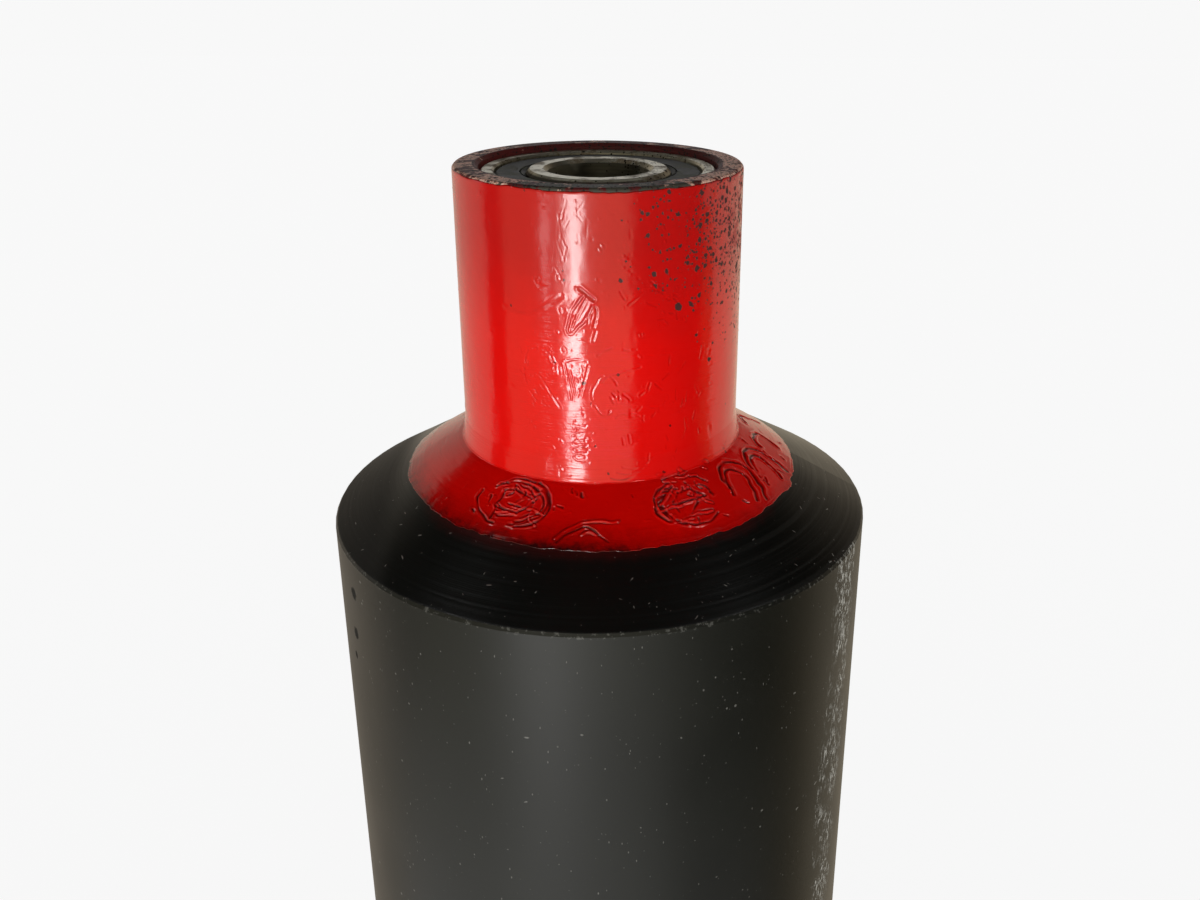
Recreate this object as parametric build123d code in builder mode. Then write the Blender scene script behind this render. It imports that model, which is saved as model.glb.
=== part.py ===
from build123d import *
from math import radians, tan
import os

# Ink form roller, standing on its lower end. The origin is the centre of the lower rim,
# on the roller's axis, and +Z runs up the axis. All lengths are in millimetres.

# Rubber-covered body
rubber_face_length = 330.0
cover_diameter = 83.8
cover_edge_break = 0.3
tube_diameter = 60.3
tube_wall = 5.0
tube_end_chamfer = 0.8

# Turned steel header at each end: neck, ground cone, land under the rubber, spigot in the tube
neck_wall = 3.6
neck_length = 41.7
neck_flare_length = 3.5
neck_flare_step = 0.5
rim_edge_radius = 0.5
end_cone_angle = 30.0
header_land_length = 8.0
spigot_length = 28.0
spigot_chamfer = 1.5
seat_shoulder = 3.0
seat_mouth_chamfer = 0.5
header_bore_chamfer = 1.0

# Sealed deep-groove ball bearing, 15 x 35 x 11
bearing_bore = 15.0
bearing_diameter = 35.0
bearing_width = 11.0
bearing_recess = 0.9
ring_chamfer = 0.6
ball_diameter = 5.953
ball_count = 8
ball_clearance = 0.02
race_relief = 0.12
race_depth = 1.1

# Riveted ribbon cage
cage_sheet = 0.6
cage_side_clearance = 0.9
cage_end_clearance = 0.25
pocket_clearance = 0.1
rivet_diameter = 0.8
rivet_head_overhang = 0.25
rivet_head_height = 0.4

# Rubber seals, snapped into a groove in the outer ring
seal_recess = 0.45
seal_seat_wall = 1.9
seal_snap = 0.35
seal_mouth_chamfer = 0.3
seal_edge_step = 0.35
seal_edge_width = 0.45
seal_lip_clearance = 0.08
seal_lip_thickness = 0.4
seal_lip_width = 0.55
seal_relief_width = 0.3
seal_relief_depth = 0.3

# Roller body, worked out from the sizes above
neck_radius = bearing_diameter / 2 + neck_wall
root_radius = neck_radius + neck_flare_step
cover_radius = cover_diameter / 2
tube_radius = tube_diameter / 2
tube_bore_radius = tube_radius - tube_wall
header_bore_radius = bearing_diameter / 2 - seat_shoulder
cone_slope = tan(radians(end_cone_angle))
flange_depth = neck_length + (tube_radius - root_radius) * cone_slope
cover_depth = neck_length + (cover_radius - root_radius) * cone_slope
tube_depth = flange_depth + header_land_length
overall_length = rubber_face_length + 2 * cover_depth

# Bearing rings and balls, worked out in the same way
bearing_half = bearing_width / 2
bearing_depth = bearing_recess + bearing_half
seat_depth = bearing_recess + bearing_width
ball_radius = ball_diameter / 2
pitch_radius = (bearing_bore + bearing_diameter) / 4
race_radius = ball_radius + race_relief
race_offset = race_relief - ball_clearance
inner_shoulder_radius = pitch_radius - ball_radius - ball_clearance + race_depth
outer_shoulder_radius = pitch_radius + ball_radius + ball_clearance - race_depth

# Cage and seals, worked out in the same way
pocket_radius = ball_radius + pocket_clearance
cage_reach = pocket_radius + cage_sheet
cage_inner_radius = inner_shoulder_radius + cage_side_clearance
cage_outer_radius = outer_shoulder_radius - cage_side_clearance
rivet_angle = 180 / ball_count
rivet_head_radius = rivet_diameter / 2 + rivet_head_overhang
seal_face = bearing_half - seal_recess
seal_back = cage_reach + cage_end_clearance
seal_edge_face = seal_face - seal_edge_step
seal_bead_radius = bearing_diameter / 2 - seal_seat_wall
seal_mouth_radius = seal_bead_radius - seal_snap

ends = ("upper", "lower")
sides = ("outboard", "inboard")


def end_point(end, depth):
    """The point on the axis that lies depth inside the rim of this end."""
    return (0, 0, overall_length - depth) if end == "upper" else (0, 0, depth)


def outwards(end):
    """+1 where the end faces up, -1 where it faces down."""
    return 1 if end == "upper" else -1


def half_section(end, depth=0):
    """A plane through the axis: X is the radius, and Y points out of this end."""
    return Plane(origin=end_point(end, depth), x_dir=(1, 0, 0), z_dir=(0, -outwards(end), 0))


def bearing_plane(end, side="outboard"):
    """A plane across the bearing's middle, facing the given side of the bearing."""
    facing = outwards(end) if side == "outboard" else -outwards(end)
    return Plane(origin=end_point(end, bearing_depth), x_dir=(1, 0, 0), z_dir=(0, 0, facing))


def make_core_tube():
    """Plain steel tube between the two headers, chamfered where the spigots enter."""
    with BuildPart() as tube:
        with BuildSketch(Plane.XY.offset(tube_depth)):
            Circle(tube_radius)
            Circle(tube_bore_radius, mode=Mode.SUBTRACT)
        extrude(amount=overall_length - 2 * tube_depth)
        mouths = tube.edges().filter_by(GeomType.CIRCLE).group_by(SortBy.RADIUS)[0]
        chamfer(mouths, length=tube_end_chamfer)
    return tube


def make_rubber_cover():
    """Moulded rubber sleeve, its ends ground to the same cone as the headers."""
    with BuildPart() as cover:
        with BuildSketch(Plane.XZ) as profile:
            with BuildLine():
                Polyline(
                    (tube_radius, flange_depth),
                    (cover_radius, cover_depth),
                    (cover_radius, overall_length - cover_depth),
                    (tube_radius, overall_length - flange_depth),
                    close=True,
                )
            make_face()
            chamfer(profile.vertices().group_by(Axis.X)[-1], length=cover_edge_break)
        revolve(axis=Axis.Z)
    return cover


def make_header(end):
    """Turned header: bearing neck, flare, ground cone, land and hollow spigot."""
    seat_radius = bearing_diameter / 2
    flare_start = neck_length - neck_flare_length
    spigot_end = tube_depth + spigot_length
    with BuildPart() as header:
        with BuildSketch(half_section(end)):
            with BuildLine():
                Polyline(
                    (seat_radius, 0),
                    (neck_radius, 0),
                    (neck_radius, -flare_start),
                    (root_radius, -neck_length),
                    (tube_radius, -flange_depth),
                    (tube_radius, -tube_depth),
                    (tube_bore_radius, -tube_depth),
                    (tube_bore_radius, -spigot_end),
                    (header_bore_radius, -spigot_end),
                    (header_bore_radius, -seat_depth),
                    (seat_radius, -seat_depth),
                    close=True,
                )
            make_face()
        revolve(axis=Axis.Z)
        rings = header.edges().filter_by(GeomType.CIRCLE)
        rim = rings.group_by(Axis.Z)[-1 if end == "upper" else 0]
        tail = rings.group_by(Axis.Z)[0 if end == "upper" else -1]
        fillet(rim.sort_by(SortBy.RADIUS)[-1], radius=rim_edge_radius)
        chamfer(rim.sort_by(SortBy.RADIUS)[0], length=seat_mouth_chamfer)
        chamfer(tail.sort_by(SortBy.RADIUS)[-1], length=spigot_chamfer)
        chamfer(tail.sort_by(SortBy.RADIUS)[0], length=header_bore_chamfer)
    return header


def make_outer_ring(end):
    """Outer ring: race between two shoulders, and a snap groove for each seal's bead."""
    ring_radius = bearing_diameter / 2
    with BuildPart() as ring:
        with BuildSketch(half_section(end, bearing_depth)) as profile:
            with BuildLine():
                Polyline(
                    (outer_shoulder_radius, 0),
                    (outer_shoulder_radius, seal_back),
                    (seal_bead_radius, seal_back),
                    (seal_bead_radius, seal_edge_face),
                    (seal_mouth_radius, seal_edge_face),
                    (seal_mouth_radius, bearing_half - seal_mouth_chamfer),
                    (seal_mouth_radius + seal_mouth_chamfer, bearing_half),
                    (ring_radius, bearing_half),
                    (ring_radius, 0),
                    close=True,
                )
            make_face()
            corner = profile.vertices().group_by(Axis.Y)[-1].sort_by(Axis.X)[-1]
            chamfer(corner, length=ring_chamfer)
            mirror(about=Plane.XZ)
            with Locations((pitch_radius - race_offset, 0)):
                Circle(race_radius, mode=Mode.SUBTRACT)
        revolve(axis=Axis.Z)
    return ring


def make_inner_ring(end):
    """Inner ring: race between two plain shoulders, and the spindle bore."""
    bore_radius = bearing_bore / 2
    with BuildPart() as ring:
        with BuildSketch(half_section(end, bearing_depth)) as profile:
            with Locations(((bore_radius + inner_shoulder_radius) / 2, 0)):
                Rectangle(inner_shoulder_radius - bore_radius, bearing_width)
            chamfer(profile.vertices(), length=ring_chamfer)
            with Locations((pitch_radius + race_offset, 0)):
                Circle(race_radius, mode=Mode.SUBTRACT)
        revolve(axis=Axis.Z)
    return ring


def make_balls(end):
    """The set of balls, evenly spaced on the pitch circle."""
    with BuildPart(bearing_plane(end)) as balls:
        with PolarLocations(pitch_radius, ball_count):
            Sphere(ball_radius)
    return balls


def make_cage_half(end, side):
    """Pressed half of the cage: a flat ribbon with a round pocket at each ball."""
    with BuildPart(bearing_plane(end, side)) as cage:
        with BuildSketch(bearing_plane(end, side)) as ribbon:
            Circle(cage_outer_radius)
            Circle(cage_inner_radius, mode=Mode.SUBTRACT)
        extrude(amount=cage_sheet)
        with PolarLocations(pitch_radius, ball_count):
            Sphere(cage_reach)
        extrude(ribbon.sketch, amount=cage_reach, mode=Mode.INTERSECT)
        with PolarLocations(pitch_radius, ball_count):
            Sphere(pocket_radius, mode=Mode.SUBTRACT)
        with PolarLocations(pitch_radius, ball_count, start_angle=rivet_angle):
            Hole(rivet_diameter / 2)
    return cage


def make_cage_rivets(end):
    """One rivet between each two balls, headed on both faces of the cage."""
    on_face = (Align.CENTER, Align.CENTER, Align.MIN)
    with BuildPart(bearing_plane(end)) as rivets:
        with PolarLocations(pitch_radius, ball_count, start_angle=rivet_angle):
            Cylinder(rivet_diameter / 2, 2 * cage_sheet)
            with Locations((0, 0, cage_sheet), (0, 0, -cage_sheet - rivet_head_height)):
                Cylinder(rivet_head_radius, rivet_head_height, align=on_face)
    return rivets


def make_seal(end, side):
    """Rubber seal: bead in the outer ring, flat web, relief groove and a lip at the inner ring."""
    turn = 1 if side == "outboard" else -1
    lip_tip = inner_shoulder_radius + seal_lip_clearance
    lip_root = lip_tip + seal_lip_width
    lip_middle = (seal_face + seal_back) / 2
    lip_front = lip_middle + seal_lip_thickness / 2
    lip_back = lip_middle - seal_lip_thickness / 2
    relief_face = seal_face - seal_relief_depth
    web_outer = seal_mouth_radius - seal_edge_width
    web_inner = lip_root + seal_relief_width
    with BuildPart() as seal:
        with BuildSketch(half_section(end, bearing_depth)):
            with BuildLine():
                Polyline(
                    (seal_bead_radius, turn * seal_back),
                    (seal_bead_radius, turn * seal_edge_face),
                    (web_outer, turn * seal_edge_face),
                    (web_outer, turn * seal_face),
                    (web_inner, turn * seal_face),
                    (web_inner, turn * relief_face),
                    (lip_root, turn * relief_face),
                    (lip_root, turn * seal_face),
                    (lip_tip, turn * lip_front),
                    (lip_tip, turn * lip_back),
                    (lip_root, turn * seal_back),
                    close=True,
                )
            make_face()
        revolve(axis=Axis.Z)
    return seal


def save(piece, name):
    """Labels a finished piece and writes it under its own name."""
    piece.part.label = name
    export_step(piece.part, f"parts/{name}.step")


os.makedirs("parts", exist_ok=True)

save(make_core_tube(), "core_tube")
save(make_rubber_cover(), "rubber_cover")
for end in ends:
    save(make_header(end), f"{end}_header")
    save(make_outer_ring(end), f"{end}_bearing_outer_ring")
    save(make_inner_ring(end), f"{end}_bearing_inner_ring")
    save(make_balls(end), f"{end}_bearing_balls")
    save(make_cage_rivets(end), f"{end}_bearing_cage_rivets")
    for side in sides:
        save(make_cage_half(end, side), f"{end}_bearing_{side}_cage_half")
        save(make_seal(end, side), f"{end}_bearing_{side}_seal")
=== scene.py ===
# %% [markdown]
# # Ink form roller
# A form roller carries ink to the printing plate. This one has a steel core with a turned header in each
# end, a thick black rubber cover, a sealed ball bearing in each neck, and red enamel brushed over the bare
# steel ends. The measured model holds every solid piece and every moving part, so this lesson adds only what
# a lathe doesn't make: the coat of paint, the finishes, the light and the camera.

# %% Load the measured model
import math

import bpy
import numpy as np
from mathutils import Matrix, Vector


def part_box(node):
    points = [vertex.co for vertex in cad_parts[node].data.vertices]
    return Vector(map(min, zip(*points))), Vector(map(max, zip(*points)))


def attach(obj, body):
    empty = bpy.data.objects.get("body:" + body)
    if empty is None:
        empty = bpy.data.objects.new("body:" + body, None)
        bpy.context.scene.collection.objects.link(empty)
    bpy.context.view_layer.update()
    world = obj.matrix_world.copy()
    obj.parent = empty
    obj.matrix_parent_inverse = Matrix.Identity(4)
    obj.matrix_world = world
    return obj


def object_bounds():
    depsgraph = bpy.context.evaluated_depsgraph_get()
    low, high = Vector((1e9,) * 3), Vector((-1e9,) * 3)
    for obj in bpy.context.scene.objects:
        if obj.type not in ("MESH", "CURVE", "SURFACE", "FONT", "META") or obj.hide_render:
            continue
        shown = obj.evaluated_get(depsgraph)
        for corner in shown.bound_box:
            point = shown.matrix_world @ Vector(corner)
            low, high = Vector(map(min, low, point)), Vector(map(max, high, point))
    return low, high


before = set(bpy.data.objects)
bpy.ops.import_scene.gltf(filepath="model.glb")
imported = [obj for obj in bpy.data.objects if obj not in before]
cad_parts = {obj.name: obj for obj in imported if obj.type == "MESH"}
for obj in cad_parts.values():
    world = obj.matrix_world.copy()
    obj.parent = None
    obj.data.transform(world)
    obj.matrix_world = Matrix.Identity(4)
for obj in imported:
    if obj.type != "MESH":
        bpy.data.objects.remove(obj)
cad_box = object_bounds()
MM = 0.001

# %% [markdown]
# The roller stands on the rim of its lower neck, and its axis is Z. Every size below is either read from
# the measured model or is a real size of the turned end, so paint and patterns follow the steel.

# %% Sizes of the roller
rim_height = cad_box[1][2]
bearing_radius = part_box("upper_bearing_outer_ring")[1][0]
tube_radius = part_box("core_tube")[1][0]
cover_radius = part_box("rubber_cover")[1][0]
cover_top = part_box("rubber_cover")[1][2]
cone_angle = math.radians(30)
neck_wall = 3.6 * MM
neck_radius = bearing_radius + neck_wall
rim_edge = 0.5 * MM
flare = 0.5 * MM
flare_length = 3.5 * MM
root_radius = neck_radius + flare
neck_length = rim_height - cover_top - (tube_radius - root_radius) * math.tan(cone_angle)
print("neck", round(neck_radius / MM, 2), "x", round(neck_length / MM, 2), "mm, rim at", rim_height)

# %% [markdown]
# ## Camera
# The roller was photographed from close by and from a little above, so its circles open up quickly towards
# the lower edge of the picture. A camera is a point, three directions and a focal length. Writing the
# directions out as a matrix keeps the small roll of the hand-held shot, which aiming at a target would lose.

# %% Place the camera
picture_width = 1200
picture_height = 900
focal_pixels = 1118.5
centre_column = 659.5
centre_row = 386.7
camera_distance = 164.57 * MM
camera_above_rim = 26.99 * MM
camera_yaw = math.radians(3.195)
camera_pitch = math.radians(20.701)
camera_roll = math.radians(0.452)
nearest_seen = 10 * MM


def camera_axes(yaw, pitch, roll):
    """Right, up and forward: forward is turned by yaw and tipped by pitch, the others rolled about it."""
    level_part = math.cos(pitch)
    forward = np.array([math.sin(yaw) * level_part, math.cos(yaw) * level_part, -math.sin(pitch)])
    level = np.cross(forward, (0, 0, 1))
    level /= np.linalg.norm(level)
    upright = np.cross(level, forward)
    right = level * math.cos(roll) + upright * math.sin(roll)
    up = upright * math.cos(roll) - level * math.sin(roll)
    return right, up, forward


def add_object(name, data):
    made = bpy.data.objects.new(name, data)
    bpy.context.scene.collection.objects.link(made)
    return made


lens = bpy.data.cameras.new("camera")
camera = add_object("camera", lens)
bpy.context.scene.camera = camera
lens.lens = lens.sensor_width * focal_pixels / picture_width
lens.shift_x = (picture_width / 2 - centre_column) / picture_width
lens.shift_y = (centre_row - picture_height / 2) / picture_width
lens.clip_start = nearest_seen
right, up, forward = camera_axes(camera_yaw, camera_pitch, camera_roll)
pose = np.eye(4)
pose[:3, 0], pose[:3, 1], pose[:3, 2] = right, up, -forward
pose[:3, 3] = (0, -camera_distance, rim_height + camera_above_rim)
camera.matrix_world = pose.T
print("lens", round(lens.lens, 2), "mm, shift", round(lens.shift_x, 4), round(lens.shift_y, 4))

# %% [markdown]
# ## Shader maths
# A finish is a small sum over the surface: so much rust here, a little less gloss there. This class wraps
# one socket, so that plus, minus, times and power between sockets each add their Math node, and one method
# adds any other node.

# %% A socket that does arithmetic


class Socket:
    """The output of a node. Arithmetic on it adds Math nodes, and node() adds any other node."""

    def __init__(self, tree, output):
        self.tree = tree
        self.output = output

    def node(self, kind, settings=None, inputs=None, output=0):
        """Adds a node, sets its settings first and then its sockets, and gives the wanted output."""
        made = self.tree.nodes.new("ShaderNode" + kind)
        for name, value in (settings or {}).items():
            setattr(made, name, value)
        for key, value in (inputs or {}).items():
            if isinstance(value, Socket):
                self.tree.links.new(value.output, made.inputs[key])
            else:
                made.inputs[key].default_value = value
        return Socket(self.tree, made.outputs[output])

    def sibling(self, output):
        """Another output of the same node."""
        return Socket(self.tree, self.output.node.outputs[output])

    def math(self, operation, *others):
        return self.node("Math", {"operation": operation}, dict(enumerate((self, *others))))

    def __add__(self, other):
        return self.math("ADD", other)

    def __sub__(self, other):
        return self.math("SUBTRACT", other)

    def __rsub__(self, other):
        return self.node("Math", {"operation": "SUBTRACT"}, {0: other, 1: self})

    def __mul__(self, other):
        return self.math("MULTIPLY", other)

    def __pow__(self, other):
        return self.math("POWER", other)

    __radd__ = __add__
    __rmul__ = __mul__

    def most(self, *others):
        """The largest of this socket and the others: masks laid over each other."""
        largest = self
        for other in others:
            largest = largest.math("MAXIMUM", other)
        return largest

    def between(self, low, high):
        """0 below low, 1 above high, and a smooth step from one to the other."""
        settings = {"interpolation_type": "SMOOTHSTEP"}
        return self.node("MapRange", settings, {"Value": self, "From Min": low, "From Max": high})

    def blend(self, low, high):
        """The colour low where this socket is 0 and high where it is 1."""
        colours = {6: self.colour(low), 7: self.colour(high)}
        return self.node("Mix", {"data_type": "RGBA"}, {0: self, **colours}, output=2)

    @staticmethod
    def colour(value):
        return value if isinstance(value, Socket) else (*value, 1)


print("1 - rust * 0.5 becomes two Math nodes")

# %% [markdown]
# ## A finish in the piece's own coordinates
# Every piece stands at the origin with its place in its mesh, so Object coordinates are real metres on the
# roller: Z is the height above the floor, and the distance from the Z axis is a radius. One start function
# gives a finish its shader, its point on the surface, and these two lengths in millimetres.

# %% Start a finish


class Finish:
    """A material with one Principled shader, and the surface point in millimetres as sockets."""

    def __init__(self, name, metallic=0.0, specular=0.5):
        self.material = bpy.data.materials.new(name)
        self.material.use_nodes = True
        self.tree = self.material.node_tree
        self.shader = self.tree.nodes["Principled BSDF"]
        self.shader.inputs["Metallic"].default_value = metallic
        self.shader.inputs["Specular IOR Level"].default_value = specular
        place = Socket(self.tree, self.tree.nodes.new("ShaderNodeTexCoord").outputs["Object"])
        scale = {"operation": "SCALE"}
        self.point = place.node("VectorMath", scale, {0: place, "Scale": 1 / MM})
        split = self.point.node("SeparateXYZ", {}, {0: self.point})
        self.x, self.y, self.z = (split.sibling(axis) for axis in "XYZ")
        self.radius = (self.x**2 + self.y**2) ** 0.5

    def noise(self, size, detail=3.0, rough=0.5, stretch=(1, 1, 1), shift=(0, 0, 0)):
        """Soft random patches about size millimetres across, from 0 to 1. A stretch of 0.1 on an axis makes
        them ten times as long that way, and another shift gives another pattern."""
        places = {"Vector": self.point, "Scale": stretch, "Location": shift}
        moved = self.point.node("Mapping", {}, places)
        values = {"Vector": moved, "Scale": 1 / size, "Detail": detail, "Roughness": rough}
        return self.point.node("TexNoise", {}, values)

    def rings(self, size, detail=2.0):
        """Turning marks: noise that changes only with the radius, so that it runs round the axis."""
        values = {"W": self.radius, "Scale": 1 / size, "Detail": detail}
        return self.radius.node("TexNoise", {"noise_dimensions": "1D"}, values)

    def cells(self, size, vector=None):
        """Distance to the middle of the nearest random cell, as a share of size."""
        values = {"Vector": vector or self.point, "Scale": 1 / size}
        return self.point.node("TexVoronoi", {}, values)

    def specks(self, size, share):
        """Small round spots: the middles of random cells, kept where a second noise is high."""
        kept = self.noise(size * 2.3, 1.0).between(0.5, 0.56)
        return (1 - self.cells(size).between(share, share + 0.08)) * kept

    def flecks(self, size, amount):
        """Ragged spots, each with its own radius, in the share of the random cells that amount gives."""
        smallest, spread, edge, rag = 0.16, 0.26, 0.06, 0.6
        cells = self.cells(size)
        chance = cells.node("SeparateXYZ", {}, {0: cells.sibling("Color")})
        drawn = chance.sibling("Y")
        ragged = cells + (self.noise(size * 0.5, 2.0) - 0.5) * rag
        spot = 1 - (ragged - drawn * spread).between(smallest, smallest + edge)
        return spot * chance.math("LESS_THAN", amount)

    def distance_to(self, place):
        """Distance in millimetres from the surface point to a place."""
        operation = {"operation": "DISTANCE"}
        return self.point.node("VectorMath", operation, {0: self.point, 1: place}, output="Value")

    def set(self, socket, value):
        self.tree.links.new(value.output, self.shader.inputs[socket])

    def bump(self, height_mm):
        """Relief given in millimetres, as a Bump node that feeds the shader's Normal."""
        values = {"Height": height_mm * MM, "Distance": 1.0, "Strength": 1.0}
        self.set("Normal", height_mm.node("Bump", {}, values))


def dress(names, finish):
    """Gives nodes of the measured model a finish."""
    for name in names:
        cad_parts[name].material_slots[0].material = finish.material
    print(finish.material.name, "on", len(names), "nodes")


# %% [markdown]
# ## Red enamel
# The bare ends were brushed with red enamel against rust. It is smooth and glossy, and duller and darker
# towards the rim, where greasy hands and ink have left black flecks. A fleck is the middle of a random cell,
# made ragged with noise, and fewer cells have one further from the dirtiest place. The press marks, which the
# coat stores as its attribute crease, are darkened as painted shade, most on the cone. Near the grime a dull
# haze turns the red pink, which is painted reflection. At the border the red is smeared with black ink, and a
# dark film of ink reaches further up the cone on the left, where it is also painted shade.

# %% Red enamel finish
deep_red, bright_red = (0.70, 0.0012, 0.0003), (0.78, 0.0020, 0.0005)
greasy_red, mottled_red = (0.50, 0.0012, 0.0003), (0.30, 0.002, 0.001)
haze_sheen_pink, inky_shaded_red = (0.40, 0.11, 0.085), (0.26, 0.0008, 0.0003)
crease_shade_brown, pit_brown = (0.085, 0.0006, 0.0004), (0.06, 0.003, 0.002)
ink_black, grime_black = (0.006, 0.002, 0.002), (0.018, 0.008, 0.007)


def red_enamel(name, rim_z, grime_centre, grime_reach):
    """Glossy red paint, greasy near the rim at rim_z, and dirtier towards grime_centre, in mm."""
    paint = Finish(name)
    depth = (paint.z - rim_z).math("ABSOLUTE")
    grimy = 1 - paint.distance_to(grime_centre).between(0.15 * grime_reach, grime_reach)
    clusters = paint.noise(3.2, 3.0, 0.65, shift=(7, 3, 1)).between(0.36, 0.66)
    amount = grimy**0.8 * (0.25 + clusters)
    fine, coarse = paint.flecks(0.50, amount), paint.flecks(1.5, amount * 0.35)
    grime = fine.most(paint.flecks(0.9, amount * 0.9), coarse)
    pits = paint.flecks(0.8, paint.noise(9.0, 2.0).between(0.45, 0.75) * 0.02)
    crease = paint.radius.node("Attribute", {"attribute_name": "crease"}, output=2)
    patches = paint.noise(14.0, 2.0, 0.5, stretch=(1, 1, 0.35))
    greasy = 1 - (depth + paint.noise(6.0, 3.0) * 9.0).between(11.0, 29.0)
    clean = patches.between(0.3, 0.7).blend(deep_red, bright_red)
    toned = greasy.blend(clean, greasy_red)
    mottling = paint.noise(0.9, 3.0, 0.7).between(0.52, 0.66) * grimy.between(0.1, 0.7)
    mottled = (mottling * 0.45).blend(toned, mottled_red)
    # A dull haze near the grime, whose pink is painted reflection.
    haze_and_sheen = grimy.between(0.55, 0.95) * paint.noise(2.0, 4.0, 0.7).between(0.42, 0.62)
    hazed_and_sheened = (haze_and_sheen * 0.22).blend(mottled, haze_sheen_pink)
    # The reach runs further on the left, so the dark ink film there is also painted shade on the cone.
    reach = paint.radius + paint.noise(1.8, 4.0, 0.7) * 2.8 - paint.x.between(-4, 14) * 1.8
    smear = reach.between(30.9, 32.6)
    ink_film_and_shade = reach.between(28.0, 31.6) * 0.7
    filmed_and_shaded = ink_film_and_shade.blend(hazed_and_sheened, inky_shaded_red)
    on_cone = depth.between(40.0, 42.0)
    # Darker colour in the press marks is painted shade, stronger on the cone.
    crease_shaded = (crease * (0.25 + on_cone * 0.65)).blend(filmed_and_shaded, crease_shade_brown)
    soiled = (pits * 0.85).blend(crease_shaded, pit_brown)
    inked = (smear * 0.93).blend(soiled, ink_black)
    paint.set("Base Color", (grime * 0.92).blend(inked, grime_black))
    paint.set("Roughness", 0.11 + patches * 0.05 + greasy * 0.06 + haze_and_sheen * 0.35 + grime * 0.45)
    peel = paint.noise(0.45, 3.0, 0.6) * (0.5 + paint.noise(7.0, 2.0).between(0.42, 0.62) * 0.6 + grimy)
    bands = depth.between(18, 24) + paint.noise(7.0, 1.0, stretch=(0.1, 0.1, 1)).between(0.47, 0.60) * 0.5
    ripples = paint.noise(0.24, 2.0, 0.5, stretch=(0.05, 0.05, 1)) * bands
    paint.bump(peel * 0.005 + ripples * 0.030 + paint.noise(2.4, 2.0) * 0.010 - grime * 0.02 - pits * 0.02)
    return paint


enamel = red_enamel("red_enamel", rim_height / MM, (20.4, -5.5, rim_height / MM - 2.5), 26.0)
lower_enamel = red_enamel("red_enamel_lower", 0.0, (-14.0, -15.0, 4.0), 18.0)
print("enamel finishes", enamel.material.name, lower_enamel.material.name)

# %% [markdown]
# ## Bare and worn steel
# The header's rim rubs against thrust washers and the bench, so its paint is worn to a pinkish grey: thin
# red left in the low places, dull steel on the high ones, and black grease in between. The red that is left
# is painted very dark, with more of it in the recess and at the back, as painted shade. The same finish is
# plain dull steel further in, where nobody sees it.

# %% Worn steel finish
low_steel, high_steel = (0.58, 0.25, 0.165), (0.96, 0.62, 0.49)
grease_grey, shaded_red_remains, dot_black = (0.060, 0.054, 0.038), (0.10, 0.004, 0.003), (0.012, 0.007, 0.006)


def worn_steel(name):
    """Brownish dull steel with remains of red and black grease, as patches of noise. The red is painted very
    dark and lies more in the recess and at the back, as painted shade.
    """
    steel = Finish(name, specular=0.3)
    patches = steel.noise(2.2, 4.0, 0.62)
    fine = steel.noise(0.40, 3.0, 0.65, shift=(3, 9, 4))
    recess = 1 - steel.radius.between(17.9, 18.4)
    away = steel.y.between(4, 17)
    # The remains of red gather in the recess and at the back, in a very dark red: painted shade.
    painted = (patches + recess * 0.22 + away * 0.10).between(0.52, 0.58)
    front = 1 - steel.y.between(-19.5, -13.0)
    grease = steel.noise(1.4, 4.0, 0.65, shift=(1, 4, 2)) + front * 0.30 - recess * 0.1
    greasy = grease.between(0.62, 0.70)
    dots = steel.flecks(0.40, 0.5).most(steel.flecks(0.7, 0.35))
    metal = fine.between(0.35, 0.65).blend(low_steel, high_steel)
    dusty = greasy.blend(metal, grease_grey)
    tinted = painted.blend(dusty, shaded_red_remains)
    steel.set("Base Color", dots.blend(tinted, dot_black))
    steel.set("Metallic", (1 - painted) * (1 - dots) * 0.15)
    steel.set("Roughness", 0.48 + fine * 0.15 + dots * 0.2)
    steel.bump(fine * 0.02 + patches * 0.03 - dots * 0.02)
    return steel


header_finish = worn_steel("worn_header")
dress(["upper_header", "lower_header"], header_finish)

# %% [markdown]
# ## Rubber
# The cover is nitrile rubber, ground on a lathe. Its side is smooth and nearly matt, and its conical end
# keeps faint turning marks and a fringe of red from the brush. The end is coloured much darker than the side,
# as painted shade on the top face, and pale lines along its turning marks at the right are painted sheen.
# Its edge is nicked, and lint has settled on it: random cells, squeezed into short hairs.

# %% Rubber finish
rubber = Finish("cover_rubber", specular=0.32)
side_radius = cover_radius / MM
shoulder_z = cover_top / MM
edge_z = shoulder_z - (cover_radius - tube_radius) * math.tan(cone_angle) / MM
ground_end = 1 - rubber.radius.between(side_radius - 0.45, side_radius - 0.25)
turning = rubber.rings(0.30, 2.0)
broad_turning = rubber.rings(0.8, 3.0)


def fibres(finish, size, lean, amount):
    """Lint: cells squeezed into short hairs that lean one way, kept where a coarse noise is high."""
    places = {"Vector": finish.point, "Rotation": (0, 0, math.radians(lean)), "Scale": (1, 6, 2.5)}
    squeezed = finish.point.node("Mapping", {"vector_type": "TEXTURE"}, places)
    cells = finish.cells(size, squeezed)
    kept = finish.noise(size * 3.1, 1.0, shift=(lean, 0, 5)).between(amount, amount + 0.04)
    return (1 - cells.between(0.09, 0.15)) * kept


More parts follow.
